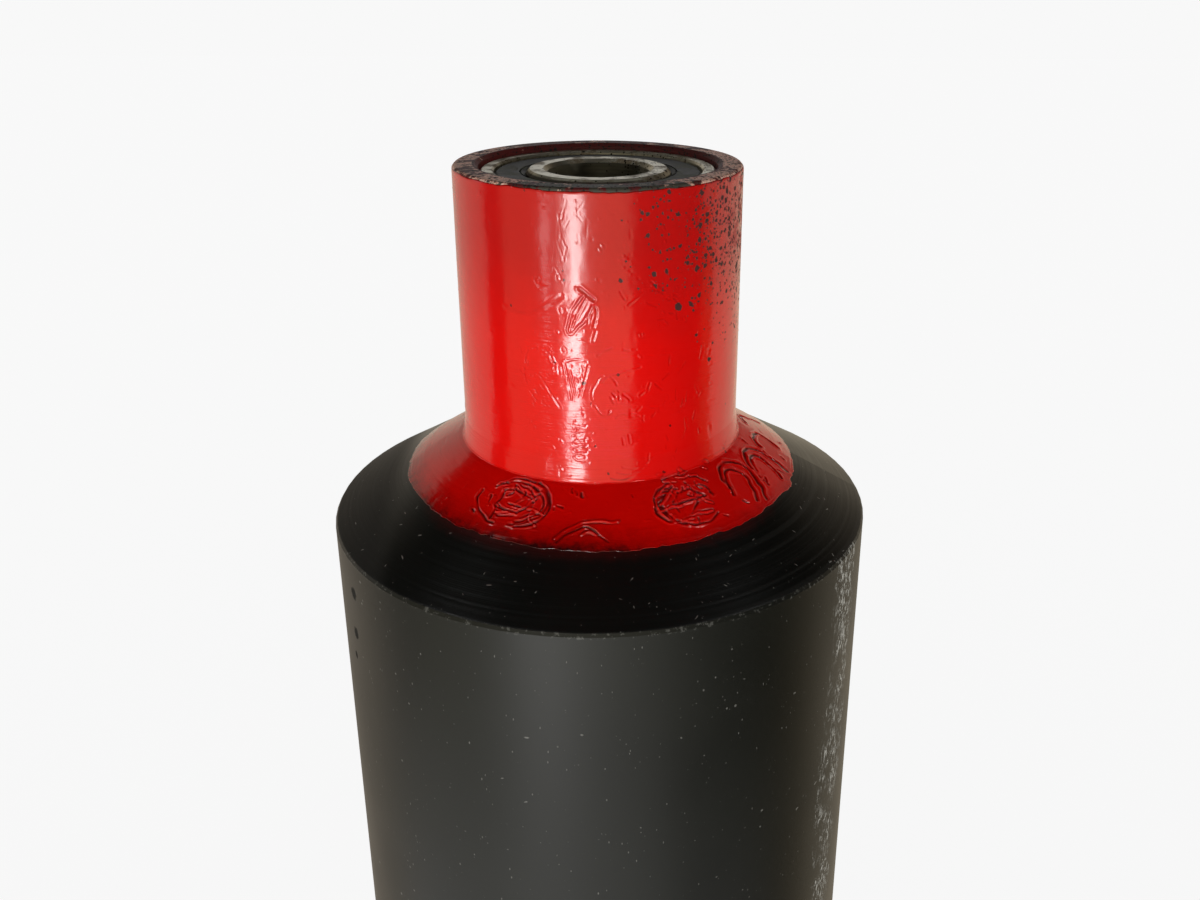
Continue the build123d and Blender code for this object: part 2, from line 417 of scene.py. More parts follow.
hairs = [fibres(rubber, *hair) for hair in ((0.62, 20, 0.62), (0.58, 75, 0.63), (0.66, 140, 0.62))]
dust = rubber.specks(0.9, 0.07) * rubber.noise(1.3, 1.0, shift=(4, 1, 3)).between(0.4, 0.8)
lint = dust.most(*hairs)
near_edge = rubber.radius.between(side_radius - 0.5, side_radius - 0.2)
near_edge = near_edge * rubber.z.between(edge_z - 0.7, edge_z - 0.35)
nicks = near_edge * rubber.noise(0.7, 3.0, 0.7).between(0.54, 0.66)
print("rubber radius", round(side_radius, 1), "mm, its edge at", round(edge_z, 1), "mm")

# %% [markdown]
# The handling marks sit where such a roller is held and laid down: three ink blots at the left, and a dry,
# scuffed band at the right that fades further down. A blot is a distance to a point, made uneven with noise.
# The band's edges wander with noise, and two more noises break it into streaks.

# %% Handling marks on the rubber


def blot(finish, azimuth, below_rim, size):
    """A round stain on the side of the cover, with a ragged edge, as a mask."""
    turn = math.radians(azimuth)
    middle = (side_radius * math.sin(turn), -side_radius * math.cos(turn), rim_height / MM - below_rim)
    away = finish.distance_to(middle)
    return 1 - (away + finish.noise(1.2, 3.0, 0.7) * size * 1.6).between(size * 1.5, size * 2.1)


lint_and_sheen_grey, blot_black, smear_red = (0.46, 0.45, 0.40), (0.002, 0.002, 0.002), (0.040, 0.0010, 0.0008)
# The conical end's much darker black is painted shade on the top face.
end_shade_black = (0.0016, 0.0020, 0.0012)
side_dark, side_pale = (0.0066, 0.0070, 0.0046), (0.0084, 0.0089, 0.0060)
blots = blot(rubber, -60.0, 59.0, 0.9).most(blot(rubber, -61.0, 66.0, 0.8), blot(rubber, -62.5, 70.5, 0.6))
below_shoulder = shoulder_z - rubber.z
ruffled = rubber.y + rubber.noise(4.0, 4.0, 0.65, stretch=(1, 1, 0.25)) * 8.0 + below_shoulder * 0.03
band = ruffled.between(-20.5, -18.5) * (1 - ruffled.between(-15.0, -12.5)) * rubber.x.between(0, 10)
streaks = rubber.noise(0.6, 4.0, 0.75, stretch=(1, 1, 0.5)).between(0.50, 0.60)
clumps = rubber.noise(5.0, 2.0, 0.5, shift=(2, 2, 8)).between(0.36, 0.58)
handled = 1 - below_shoulder.between(60, 110)
scuffs = band * streaks * clumps * handled * (1 - ground_end)
shade = rubber.noise(30.0, 3.0).between(0.3, 0.7)
body = ground_end.blend(shade.blend(side_dark, side_pale), end_shade_black)
fringe = rubber.radius + rubber.noise(1.6, 4.0, 0.7) * 2.0 + rubber.y.between(-26, -8) * 3.0
red_smear = 1 - fringe.between(32.0, 34.0)
smeared = (red_smear * 0.75).blend(body, smear_red)
stained = blots.blend(smeared, blot_black)
# Pale lines along the turning marks at the right of the end are painted sheen.
turning_sheen_lines = broad_turning.between(0.50, 0.62) * ground_end * rubber.x.between(6, 34) * 0.018
pale = (lint * (0.22 + ground_end * 0.18)).most(nicks * 0.16, scuffs, turning_sheen_lines)
dull_left = 1 - rubber.x.between(-34, -29)
rubber.set("Base Color", pale.blend(stained, lint_and_sheen_grey))
sheen = ground_end * (0.12 - dull_left * 0.26)
rubber.set("Roughness", 0.42 + shade * 0.05 - sheen + scuffs * 0.3 + blots * 0.45)
turned = turning * 0.006 + ground_end * broad_turning * 0.03
rubber.bump(turned + rubber.noise(0.6) * 0.004 + lint * 0.03)
dress(["rubber_cover"], rubber)

# %% [markdown]
# ## Bearing
# The rings are ground bearing steel, a little brown with old oil and specked with grime. A dark band beside
# the seal, left out at the right, is grime and painted shade. Fine grooves run round the bore, which is
# painted dark in the middle and lighter at both sides: painted shade down the hole and painted reflection on
# its walls. The seals are dark rubber with a skin of dust and ink, thinner at the back, where the darker
# rubber is painted shade. The balls, cage and rivets are closed in between the seals, and are bright clean
# steel.

# %% Bearing finishes
bore_radius_mm = 7.5
speck_and_shade_brown = (0.02, 0.014, 0.01)
seal_dark, seal_dust = (0.012, 0.013, 0.010), (0.13, 0.13, 0.10)


def dimmed(colour, share):
    return tuple(share * part for part in colour)


def bearing_steel(name, clean, stained):
    """Ground steel: fine rings, a stain in soft patches that dulls the metal, a dark band beside the seal
    that is grime and painted shade, and a bore painted dark in the middle and lighter at the sides, as
    painted shade and painted reflection.
    """
    steel = Finish(name, metallic=1.0)
    stain = steel.noise(2.4, 4.0, 0.6).between(0.48, 0.64)
    # A dark band beside the seal, left out at the right: grime and painted shade.
    grime_and_shade_by_seal = steel.radius.between(10.15, 10.40) * (1 - steel.radius.between(10.9, 11.2))
    specks = steel.flecks(0.40, 0.04 + 0.4 * steel.x.between(-4, 11)).most(
        steel.flecks(0.8, 0.04), grime_and_shade_by_seal * (1 - steel.x.between(4, 9)) * 0.9)
    ground = steel.rings(0.12).blend(dimmed(clean, 0.9), clean)
    in_bore = 1 - steel.radius.between(bore_radius_mm + 0.02, bore_radius_mm + 0.10)
    # The bore is painted dark in the middle and lighter at both sides: painted shade and painted reflection.
    bore_shade = steel.x.between(-5.5, -2.2) * (1 - steel.x.between(5.8, 6.8)) * 0.9
    bore_shade_colour = bore_shade.blend(dimmed(clean, 0.7), dimmed(clean, 0.10))
    stained_and_bore_shaded = in_bore.blend(stain.blend(ground, stained), bore_shade_colour)
    steel.set("Base Color", specks.blend(stained_and_bore_shaded, speck_and_shade_brown))
    steel.set("Roughness", 0.38 + stain * 0.2 + specks * 0.2)
    grooves = steel.noise(0.22, 2.0, stretch=(0.02, 0.02, 1)) * in_bore
    steel.bump(steel.rings(0.12) * 0.002 + grooves * 0.04 - specks * 0.01)
    return steel


def seal_rubber(name):
    """Dark green-grey rubber under smudged dust, which thins towards the back, where the darker rubber is
    painted shade.
    """
    seal = Finish(name, specular=0.25)
    # Less dust at the back leaves the rubber darker there: painted shade.
    dust = seal.noise(2.0, 4.0, 0.65).between(0.42, 0.60) * (1 - seal.y.between(2, 9) * 0.85)
    seal.set("Base Color", dust.blend(seal_dark, seal_dust))
    seal.set("Roughness", 0.5 + dust * 0.2)
    seal.bump(seal.noise(0.8) * 0.01)
    return seal


ring_finish = bearing_steel("bearing_steel", (0.60, 0.56, 0.44), (0.27, 0.22, 0.155))
bright_finish = bearing_steel("bright_steel", (0.66, 0.66, 0.66), (0.5, 0.5, 0.5))
tube_finish = bearing_steel("tube_steel", (0.42, 0.40, 0.38), (0.24, 0.19, 0.15))
seal_finish = seal_rubber("seal_rubber")
for end in ("upper", "lower"):
    dress([f"{end}_bearing_outer_ring", f"{end}_bearing_inner_ring"], ring_finish)
    dress([f"{end}_bearing_outboard_seal", f"{end}_bearing_inboard_seal"], seal_finish)
    cage = [f"{end}_bearing_outboard_cage_half", f"{end}_bearing_inboard_cage_half"]
    dress([*cage, f"{end}_bearing_balls", f"{end}_bearing_cage_rivets"], bright_finish)
dress(["core_tube"], tube_finish)

# %% [markdown]
# ## The coat of enamel
# Paint is a skin of its own: it is one or two tenths of a millimetre thick, ends in an uneven lip on the
# rubber, is rubbed away at the rim, and holds every scratch and press mark. A bump map can't change the
# outline or cast a shadow, so the coat is a real shell: a grid over the azimuth and the distance down the
# turned profile, lifted off the steel by a height that is worked out for all points at once. The marks need
# a fine grid, so the upper coat is two shells, one on the neck and one on the cone.

# %% The turned profile under the paint


def steel_profile(distance):
    """Radius and depth below the rim, in mm, at a distance in mm along the turned outline: round the
    rim's edge, down the neck, out over the flare and down the cone. Also the outward normal there, which
    turns smoothly at the corners, and the distances of the corners."""
    corner = np.radians(np.linspace(35, 90, 6))
    edge = rim_edge / MM
    radii = list((neck_radius - rim_edge) / MM + edge * np.sin(corner))
    depths = list(edge - edge * np.cos(corner))
    cone_end = (cover_radius - 2 * MM) / MM
    cone_depth = neck_length / MM + (cone_end - root_radius / MM) * math.tan(cone_angle)
    radii += [neck_radius / MM, root_radius / MM, cone_end]
    depths += [(neck_length - flare_length) / MM, neck_length / MM, cone_depth]
    steps = np.hypot(np.diff(radii), np.diff(depths))
    along = np.concatenate([[0], np.cumsum(steps)])
    radius = np.interp(distance, along, radii)
    depth = np.interp(distance, along, depths)
    middles = (along[1:] + along[:-1]) / 2
    outward = np.diff(depths) / steps
    upward = np.diff(radii) / steps
    spread = np.clip(steps / 2 - 0.2, 0, None)
    knots = np.stack([middles - spread, middles + spread], 1).ravel()
    out_part = np.interp(distance, knots, np.repeat(outward, 2))
    up_part = np.interp(distance, knots, np.repeat(upward, 2))
    length = np.hypot(out_part, up_part)
    return radius, depth, out_part / length, up_part / length, along


start_to_root = steel_profile(np.zeros(1))[4][-2]
print("rim to root along the steel", round(start_to_root, 2), "mm")

# %% [markdown]
# Brush marks and dents are random but smooth. Random numbers on a coarse lattice, joined by a smooth step
# in both directions, give soft hills of a chosen size. The lattice closes round the roller, so the coat has
# no seam.

# %% Smooth random hills


def hills(azimuth, distance, cell_degrees, cell_mm, seed):
    """Random heights from -1 to 1 on a lattice over azimuth and distance, with smoothstep between."""
    around = int(round(360 / cell_degrees))
    rows = int(distance.max() / cell_mm) + 3
    lattice = np.random.default_rng(seed).uniform(-1, 1, (rows, around))
    column = (azimuth % 360) / 360 * around
    row = np.clip(distance / cell_mm, 0, rows - 2)
    left, top = np.floor(column).astype(int), np.floor(row).astype(int)
    across, down = column - left, row - top
    across, down = across**2 * (3 - 2 * across), down**2 * (3 - 2 * down)
    left, beside = left % around, (left + 1) % around
    upper = lattice[top, left] * (1 - across) + lattice[top, beside] * across
    lower = lattice[top + 1, left] * (1 - across) + lattice[top + 1, beside] * across
    return upper * (1 - down) + lower * down


# %% [markdown]
# Every scratch and press mark is a path on the surface, given by azimuth in degrees and distance from the
# neck's root in millimetres. A blunt point pushes enamel aside: the mark's section is a groove with a lip
# on each side, which depends only on the distance to the path.

# %% Scratches and press marks


def mark(azimuth, from_root, path, width, depth):
    """Height in mm that a stroke along path adds: minus a bell of the distance to it, plus two side lips.
    The distance is to the nearest point of each straight step of the path, measured on the surface."""
    path = np.asarray(path, float)
    scale = np.where(from_root < 0, root_radius, root_radius + from_root * MM * math.cos(cone_angle))
    scale = np.radians(1) * scale / MM
    height = np.zeros_like(azimuth)
    reach = 4 * width
    low, high = path.min(0), path.max(0)
    centre = (low[0] + high[0]) / 2
    turned = (azimuth - centre + 180) % 360 - 180
    inside = (np.abs(turned) * scale < (high[0] - low[0]) / 2 * scale + reach)
    inside &= (from_root > low[1] - reach) & (from_root < high[1] + reach)
    if not inside.any():
        return height
    x = turned[inside] * scale[inside]
    y = from_root[inside]
    nearest = np.full(x.shape, np.inf)
    for (a0, s0), (a1, s1) in zip(path[:-1] - (centre, 0), path[1:] - (centre, 0)):
        step_x, step_y = (a1 - a0) * scale[inside], s1 - s0
        length = step_x**2 + step_y**2 + 1e-9
        share = np.clip(((x - a0 * scale[inside]) * step_x + (y - s0) * step_y) / length, 0, 1)
        gap = np.hypot(x - a0 * scale[inside] - share * step_x, y - s0 - share * step_y)
        nearest = np.minimum(nearest, gap)
    groove = -np.exp(-((nearest / width) ** 2))
    lips = 0.55 * np.exp(-(((nearest - 1.9 * width) / (0.75 * width)) ** 2))
    height[inside] = depth * (groove + lips)
    return height


def arc(centre, radii, start, end, wobble, seed):
    """Part of an oval round centre, in degrees and mm, with a slow random wobble of its radius."""
    points = 18
    turn = np.radians(np.linspace(start, end, points))
    waves = np.random.default_rng(seed).uniform(-1, 1, 5)
    swell = 1 + wobble * sum(w * np.sin((k + 2) * turn + 5 * w) for k, w in enumerate(waves)) / 2
    across, down = radii[0] * swell * np.cos(turn), radii[1] * swell * np.sin(turn)
    return np.stack([centre[0] + across, centre[1] + down], 1)


def smooth(path, steps=8):
    """A curve near the corners of path: each stretch is a quadratic arc between the middles of two sides."""
    path = np.asarray(path, float)
    middles = (path[1:-2] + path[2:-1]) / 2
    starts = np.concatenate([path[:1], middles])
    ends = np.concatenate([middles, path[-1:]])
    t = np.linspace(0, 1, steps)[None, :, None]
    curve = (1 - t) ** 2 * starts[:, None] + 2 * t * (1 - t) * path[1:-1][:, None] + t**2 * ends[:, None]
    return curve.reshape(-1, 2)


def crumpled_ring(centre, radii, heavy_side, seed):
    """A press mark: a heavy side of several arcs, broken outer rings, a many-sided loop, and short creases.
    Each entry is (path, width in mm, depth in mm), and a negative depth is a raised crease."""
    random = np.random.default_rng(seed)
    found = []
    for share in (1.02, 0.92, 0.82):
        size = (radii[0] * share, radii[1] * share)
        before, after = random.uniform(45, 75, 2)
        heavy = arc(centre, size, heavy_side - before, heavy_side + after, 0.04, random.integers(99))
        found.append((heavy, 0.19, 0.20))
        start = heavy_side + random.uniform(80, 230)
        end = start + random.uniform(40, 110)
        found.append((arc(centre, size, start, end, 0.08, random.integers(99)), 0.16, 0.15))
    corners = np.radians(np.sort(random.uniform(0, 360, 6)))
    for start, end in zip(corners, np.roll(corners, -1)):
        ends = np.array([start, end])
        across, down = 0.52 * radii[0] * np.cos(ends), 0.52 * radii[1] * np.sin(ends)
        found.append((np.stack([centre[0] + across, centre[1] + down], 1), 0.17, 0.17))
    for _ in range(18):
        at = random.uniform(-0.72, 0.72, 2) * radii + centre
        lean = random.uniform(0, math.pi)
        half = random.uniform(0.10, 0.34) * np.array([radii[0] * math.cos(lean), radii[1] * math.sin(lean)])
        bend = random.uniform(-0.12, 0.12, 2) * radii
        crease = smooth([at - half, at + bend, at + half], 6)
        found.append((crease, 0.15, random.choice([-0.16, -0.12, 0.13, 0.18])))
    return found


def strokes(width, depth, *paths):
    """Smooth strokes that share a width and a depth."""
    return [(smooth(path), width, depth) for path in paths]


def scratches(count, azimuths, distances, lean, length, seed, width, depth):
    """Short straight strokes scattered in a window, all leaning about the same way."""
    random = np.random.default_rng(seed)
    middle = np.stack([random.uniform(*azimuths, count), random.uniform(*distances, count)], 1)
    angle = np.radians(random.normal(lean, 24, count))
    half = random.uniform(0.3, 1.0, count)[:, None] * length / 2
    step = np.stack([np.cos(angle) * 2.7, np.sin(angle)], 1) * half
    return [(np.stack([m - s, m + s]), width, depth) for m, s in zip(middle, step)]


# %% [markdown]
# The upper end has two crumpled ring marks and a row of loops on the cone, a leaf-shaped scribble on the neck
# above a fan of scratches, and a few curls near the root: wrinkles with no meaning, drawn by hand.

# %% Marks of the upper end


def upper_marks():
    """Each entry is (path, width in mm, depth in mm)."""
    found = crumpled_ring((-29.3, 4.4), (12.8, 4.0), 10, 4)
    found += crumpled_ring((28.5, 5.0), (11.6, 4.1), 190, 11)
    loops = [
        [(44.6, 5.2), (45.6, 1.9), (53.5, 0.9), (60.0, 3.6), (57.6, 6.8), (53.6, 9.6)],
        [(44.2, 6.4), (46.0, 3.2), (51.6, 2.3), (55.2, 4.2), (53.4, 6.6), (50.2, 8.8)],
        [(61.4, 4.6), (63.6, 2.2), (71.6, 1.9), (75.6, 4.6), (73.6, 9.4)],
        [(62.0, 5.4), (64.4, 3.4), (69.4, 3.4), (70.8, 5.8), (67.6, 9.0)],
        [(78.0, 4.2), (82.0, 2.2), (90.0, 3.6), (88.4, 5.6), (86.2, 7.6)],
        [(95.0, 2.0), (101.7, 1.2), (104.2, 3.4), (106.5, 6.4)],
    ]
    found += [(smooth(loop, 7), 0.26 - 0.05 * (place % 2), 0.20) for place, loop in enumerate(loops)]
    found += strokes(0.16, -0.15, [(-12.6, 9.3), (-8.6, 7.0), (-3.7, 6.2), (4.6, 6.5)])
    found += strokes(0.15, 0.15, [(-12.0, 9.9), (-8.2, 7.7), (-3.4, 6.9), (1.0, 9.6)])
    found += strokes(0.15, -0.15, [(-6.0, 8.6), (-4.2, 7.6), (-1.4, 8.4)])
    leaf = [(-6.1, -27.4), (-8.6, -26.4), (-10.9, -24.7), (-12.6, -22.3), (-10.6, -21.8), (-8.5, -23.0),
            (-6.3, -23.6), (-3.9, -25.3), (-2.0, -26.3), (-0.8, -25.0), (-2.3, -23.1)]
    found += strokes(0.16, 0.10, leaf)
    found += strokes(0.13, 0.06, [(-4.6, -27.6), (-7.0, -25.6), (-9.6, -23.9), (-10.4, -23.0)])
    found += strokes(0.13, 0.08, [(-2.9, -26.3), (-3.9, -25.2), (-4.6, -23.7)])
    found.append(([(-1.6, -22.5), (-2.8, -21.1)], 0.13, 0.07))
    found += strokes(0.24, 0.11, [(-7.4, -28.4), (-5.4, -27.9), (-2.4, -26.9)])
    for start, end in ((100, 130), (150, 186), (200, 232), (250, 262), (285, 330), (340, 352)):
        found.append((arc((-23.6, -16.0), (6.4, 3.8), start, end, 0.08, start), 0.12, 0.06))
    for start, end in ((60, 150), (170, 260), (290, 330)):
        found.append((arc((1.8, -13.2), (5.0, 2.9), start, end, 0.05, start), 0.12, 0.05))
    found += strokes(
        0.12, 0.055,
        [(-23.6, -15.8), (-19.9, -13.8), (-15.5, -11.2)],
        [(-1.2, -19.0), (1.6, -19.9), (4.4, -20.1)],
        [(8.2, -19.8), (11.4, -19.4), (13.4, -19.7)],
        [(0.2, -15.1), (2.6, -16.1), (7.1, -16.4), (14.9, -17.1)],
        [(5.3, -9.8), (7.8, -10.6), (10.1, -10.0), (12.4, -10.6), (15.3, -9.4)],
        [(46.6, -0.9), (53.8, -0.9), (65.9, -0.3), (79.5, 0.2)],
        [(10.3, -26.0), (13.2, -26.8), (16.4, -27.7)])
    found += strokes(
        0.30, 0.03,
        [(-38.0, -24.8), (-31.9, -24.4), (-25.8, -24.7), (-19.3, -25.8), (-14.6, -27.2)])
    found += strokes(
        0.12, 0.06,
        [(-13.4, -17.9), (-12.1, -15.4), (-11.0, -12.5)],
        [(-4.6, -17.6), (-5.8, -15.2), (-8.1, -13.0)],
        [(-12.9, -18.1), (-8.8, -18.8), (-5.0, -18.2)],
        [(-11.6, -16.8), (-10.4, -14.8), (-9.6, -13.2)])
    low_wave = np.array([(3.4, -1.6), (6.9, -1.1), (11.6, -1.6), (15.6, -2.6)])
    found += strokes(0.13, 0.08, *(low_wave + (2.2 * place, 0.75 - 0.75 * place) for place in range(3)))
    for turn in range(6):
        middle = (-8.0 + 0.5 * math.sin(2.1 * turn), -9.0 + 1.0 * turn)
        found.append((arc(middle, (2.7, 0.5), 20, 190 + 40 * turn, 0.25, 80 + turn), 0.12, 0.06))
    # Number, azimuths, distances from the root, lean, length, seed, width and depth.
    windows = [
        (26, (-12.4, -6.0), (-17.6, -13.4), 80, 1.0, 69, 0.10, 0.035),
        (18, (-17, -4), (-39.5, -30), 88, 3.2, 70, 0.09, 0.016),
        (16, (-32, -14), (-21, -11), 60, 1.1, 71, 0.11, 0.05),
        (24, (14, 50), (-18, -3), 112, 2.0, 72, 0.13, 0.085),
        (12, (2, 30), (-14, -4), 75, 1.6, 73, 0.13, 0.075),
        (14, (8, 30), (-29, -23), 30, 1.8, 74, 0.13, 0.08),
        (34, (-24, 34), (-39, -18), 60, 0.5, 75, 0.13, -0.06),
        (26, (-30, 34), (-18, -2), 80, 0.5, 76, 0.12, -0.05),
        (18, (-50, 60), (1, 10), 70, 0.9, 77, 0.15, 0.11),
        (10, (10, 48), (-0.8, 1.2), 20, 1.2, 78, 0.16, -0.14),
        (12, (56, 95), (-1.5, 9), 100, 1.2, 79, 0.16, 0.13),
    ]
    for window in windows:
        found += scratches(*window)
    return found


# %% [markdown]
# The lower end was painted in the same way. It isn't seen, so it gets the same kind of coat with only plain
# brush marks and a few light scratches.

# %% Marks of the lower end


def lower_marks():
    """A few light scratches, spread round the neck and the cone."""
    found = scratches(26, (-170, 170), (-38, -3), 70, 4.0, 170, 0.20, 0.03)
    return found + scratches(14, (-170, 170), (2, 8), 40, 3.0, 171, 0.20, 0.035)


print("marks", len(upper_marks()), "above and", len(lower_marks()), "below")

# %% [markdown]
# The coat's grid is finer where its marks are: at the front and on the cone. Its outer face is the steel
# profile plus the coat's height along the profile's normal. Its inner face lies just inside the steel, and
# both faces share their first and last rows, so that the shell is closed.

# %% Build a coat


def uneven_steps(edges, sizes):
    """Grid lines from edges[0] to edges[-1], with about sizes[i] between lines in the i-th stretch."""
    runs = []
    for low, high, size in zip(edges[:-1], edges[1:], sizes):
        runs.append(np.linspace(low, high, max(2, int(round((high - low) / size)) + 1))[:-1])
    return np.concatenate(runs + [[edges[-1]]])


def border_radius(azimuth, seed):
    """Where the brush stopped, as a radius in mm: on the joint at the sides, further out at the front,
    with a ragged edge, and a pointed slip of the brush at the right."""
    front = np.cos(np.radians(azimuth - 12) / 2) ** 6
    ragged = hills(azimuth, np.zeros_like(azimuth), 4.0, 1.0, seed) * 0.16
    ragged += hills(azimuth, np.zeros_like(azimuth), 1.5, 1.0, seed + 1) * 0.12
    slip = 0.35 * np.exp(-(((azimuth - 66) / 3.5) ** 2))
    return tube_radius / MM + 0.12 + 0.90 * front + ragged + slip


def share_on_cone(from_root):
    """0 on the neck and 1 on the cone, with a short ramp over the root."""
    return np.clip(from_root / 1.5 + 0.5, 0, 1)


def press_marks(azimuth, distance, marks, seed):
    """Height in mm that all marks add, with paths that wander a little and a depth that comes and goes."""
    from_root = distance - start_to_root
    on_cone = share_on_cone(from_root)
    aside = azimuth + (0.15 + 0.40 * on_cone) * hills(azimuth, distance, 2.6, 1.1, seed + 7)
    along = from_root + (0.05 + 0.11 * on_cone) * hills(azimuth, distance, 2.4, 1.2, seed + 8)
    pressed = sum(mark(aside, along, path, width, depth) for path, width, depth in marks)
    return pressed * (0.85 + 0.65 * hills(azimuth, distance, 3.0, 1.1, seed + 9))


def coat_height(azimuth, distance, first, last, pressed, seed):
    """Height of the enamel over the steel in mm: a film that is thicker on the cone, soft brush marks, dents,
    blisters, a bead along the root and the marks. It thins to the border, and is nothing at both edges."""
    thinnest, rise_length, fall_length, thinning_length = 0.022, 0.35, 0.7, 3.4
    from_root = distance - start_to_root
    on_cone = share_on_cone(from_root)
    film = 0.090 + 0.100 * on_cone
    brushing = ((0.014, 7.0, 5.0), (0.007, 2.4, 3.0), (0.006, 2.0, 0.8))
    for place, (height, degrees, length) in enumerate(brushing):
        film += height * hills(azimuth, distance, degrees, length, seed + place)
    for height, degrees, length, start, place in ((-0.04, 2.8, 1.1, 0.80, 3), (0.07, 1.4, 0.55, 0.86, 4)):
        tops = np.clip(hills(azimuth, distance, degrees, length, seed + place) - start, 0, 1)
        film += height * tops / (1 - start)
    bead = np.exp(-(((from_root + 0.25) / 0.28) ** 2))
    film += 0.06 * bead * (1 + 0.9 * hills(azimuth, distance, 2.2, 9.0, seed + 6))
    film += pressed
    to_border = np.where(from_root > 5, last - distance, 5.0)
    film *= np.clip(to_border / thinning_length + 0.15, 0.15, 1)
    film = np.maximum(film, thinnest)
    rise = np.clip((distance - first) / rise_length, 0, 1)
    fall = np.clip((last - distance) / fall_length, 0, 1)
    return film * np.sqrt(rise * (2 - rise)) * fall


def closed_grid(columns, rows):
    """Quads between rows of vertices, closed round the roller and from the last row to the first."""
    here = np.arange(columns)
    beside = (here + 1) % columns
    row = np.arange(rows)[:, None] * columns
    below = (row + columns) % (rows * columns)
    return np.stack([row + here, below + here, below + beside, row + beside], -1).reshape(-1, 4)


def worn_edge(azimuth, seed):
    """Distance down the profile, in mm, where rubbing has left the first paint: lowest at the front."""
    flat = np.zeros_like(azimuth)
    front = np.cos(np.radians(azimuth - 4) / 2) ** 24
    ragged = 0.09 * hills(azimuth, flat, 5.0, 1.0, seed)
    ragged += 0.05 * hills(azimuth, flat, 1.8, 1.0, seed + 1)
    return 0.24 + 0.26 * front + ragged


def make_coat(name, end, azimuths, along, first, last, marks, seed, finish):
    """A closed shell of enamel on the header of one end, between two edges given for each azimuth. Its
    attribute crease is 1 where a mark is pressed in by full_crease or more, in mm."""
    full_crease, inside, margin = 0.10, 0.03, 0.04
    around = len(azimuths)
    share = (along - along[0]) / (along[-1] - along[0])
    distance = first + share[:, None] * (last - first)
    azimuth = np.broadcast_to(azimuths, distance.shape)
    pressed = press_marks(azimuth, distance, marks, seed)
    height = coat_height(azimuth, distance, first, last, pressed, seed)
    knots = np.array([0.7, start_to_root - flare_length / MM, start_to_root, start_to_root + 4.0])
    inner_rows = knots[(knots > first.max() + margin) & (knots < last.min() - margin)]
    inner = np.broadcast_to(inner_rows[::-1, None], (len(inner_rows), around))
    all_distance = np.concatenate([distance, inner])
    all_height = np.concatenate([height, np.full(inner.shape, -inside)])
    radius, depth, out_part, up_part, _ = steel_profile(all_distance)
    radius = (radius + all_height * out_part) * MM
    depth = (depth - all_height * up_part) * MM
    turn = np.radians(np.broadcast_to(azimuths, radius.shape))
    height_z = rim_height - depth if end == "upper" else depth
    points = np.stack([radius * np.sin(turn), -radius * np.cos(turn), height_z], -1).reshape(-1, 3)
    faces = closed_grid(around, len(all_distance))
    if end == "lower":
        faces = faces[:, ::-1]
    mesh = bpy.data.meshes.new(name)
    mesh.from_pydata(points.tolist(), [], faces.tolist())
    mesh.shade_smooth()
    crease = np.concatenate([np.clip(-pressed / full_crease, 0, 1), np.zeros(inner.shape)]).ravel()
    mesh.attributes.new("crease", "FLOAT", "POINT").data.foreach_set("value", crease)
    mesh.materials.append(finish.material)
    coat = add_object(name, mesh)
    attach(coat, "roller")
    print(name, len(points), "points", 2 * len(faces), "triangles")


def border_edge(azimuth, seed):
    """Distance down the profile, in mm, of the border that border_radius draws."""
    return start_to_root + (border_radius(azimuth, seed) - root_radius / MM) / math.cos(cone_angle)


neck_azimuths = uneven_steps([-180, -50, -36, 42, 60, 180], [2.0, 0.9, 0.40, 0.9, 2.0])[:-1]
neck_along = uneven_steps([0, 1.0, start_to_root], [0.14, 0.16])
cone_azimuths = uneven_steps([-180, -58, 108, 180], [1.8, 0.30, 1.8])[:-1]
cone_along = uneven_steps([0, 11.5], [0.118])
below_azimuths = uneven_steps([-180, 180], [1.5])[:-1]
below_along = uneven_steps([0, 1.0, start_to_root - 4, start_to_root + 10.5], [0.2, 0.6, 0.3])
root = np.full(len(neck_azimuths), start_to_root + 0.15)
make_coat("upper_neck_paint", "upper", neck_azimuths, neck_along, worn_edge(neck_azimuths, 308), root,
          upper_marks(), 300, enamel)
root = np.full(len(cone_azimuths), start_to_root - 0.30)
make_coat("upper_cone_paint", "upper", cone_azimuths, cone_along, root, border_edge(cone_azimuths, 305),
          upper_marks(), 300, enamel)
make_coat("lower_paint", "lower", below_azimuths, below_along, worn_edge(below_azimuths, 408),
          border_edge(below_azimuths, 405), lower_marks(), 400, lower_enamel)

# %% [markdown]
# ## Studio
# The floor and the world are the pale ground of the picture. They show their own colour to the camera and
# to reflections, and light the roller with a little less, so that the background stays white while colours
# render as they are written. The floor keeps a small share of its shading, and so the roller's shadow.

# %% Floor and world
ground_colour = (0.939, 0.939, 0.939)
sky_light = 0.86
floor_colour = (0.80, 0.80, 0.80)
floor_glow = (0.960, 0.960, 0.960)
floor_glow_share = 0.93


def seen_directly(tree):
    """1 for rays from the camera, from reflections and through glass, and 0 for light that is scattered."""
    direct = Socket(tree, tree.nodes.new("ShaderNodeLightPath").outputs["Is Camera Ray"])
    return direct.most(direct.sibling("Is Glossy Ray"), direct.sibling("Is Transmission Ray"))


world = bpy.data.worlds.new("pale_studio")
bpy.context.scene.world = world
world.use_nodes = True
background = world.node_tree.nodes["Background"]
seen = seen_directly(world.node_tree)
sky = seen.blend((sky_light,) * 3, ground_colour)
world.node_tree.links.new(sky.output, background.inputs["Color"])


def glowing(start, colour):
    """The Emission shader of one colour, in the tree of the socket start."""
    return start.node("Emission", {}, {"Color": (*colour, 1), "Strength": 1.0})


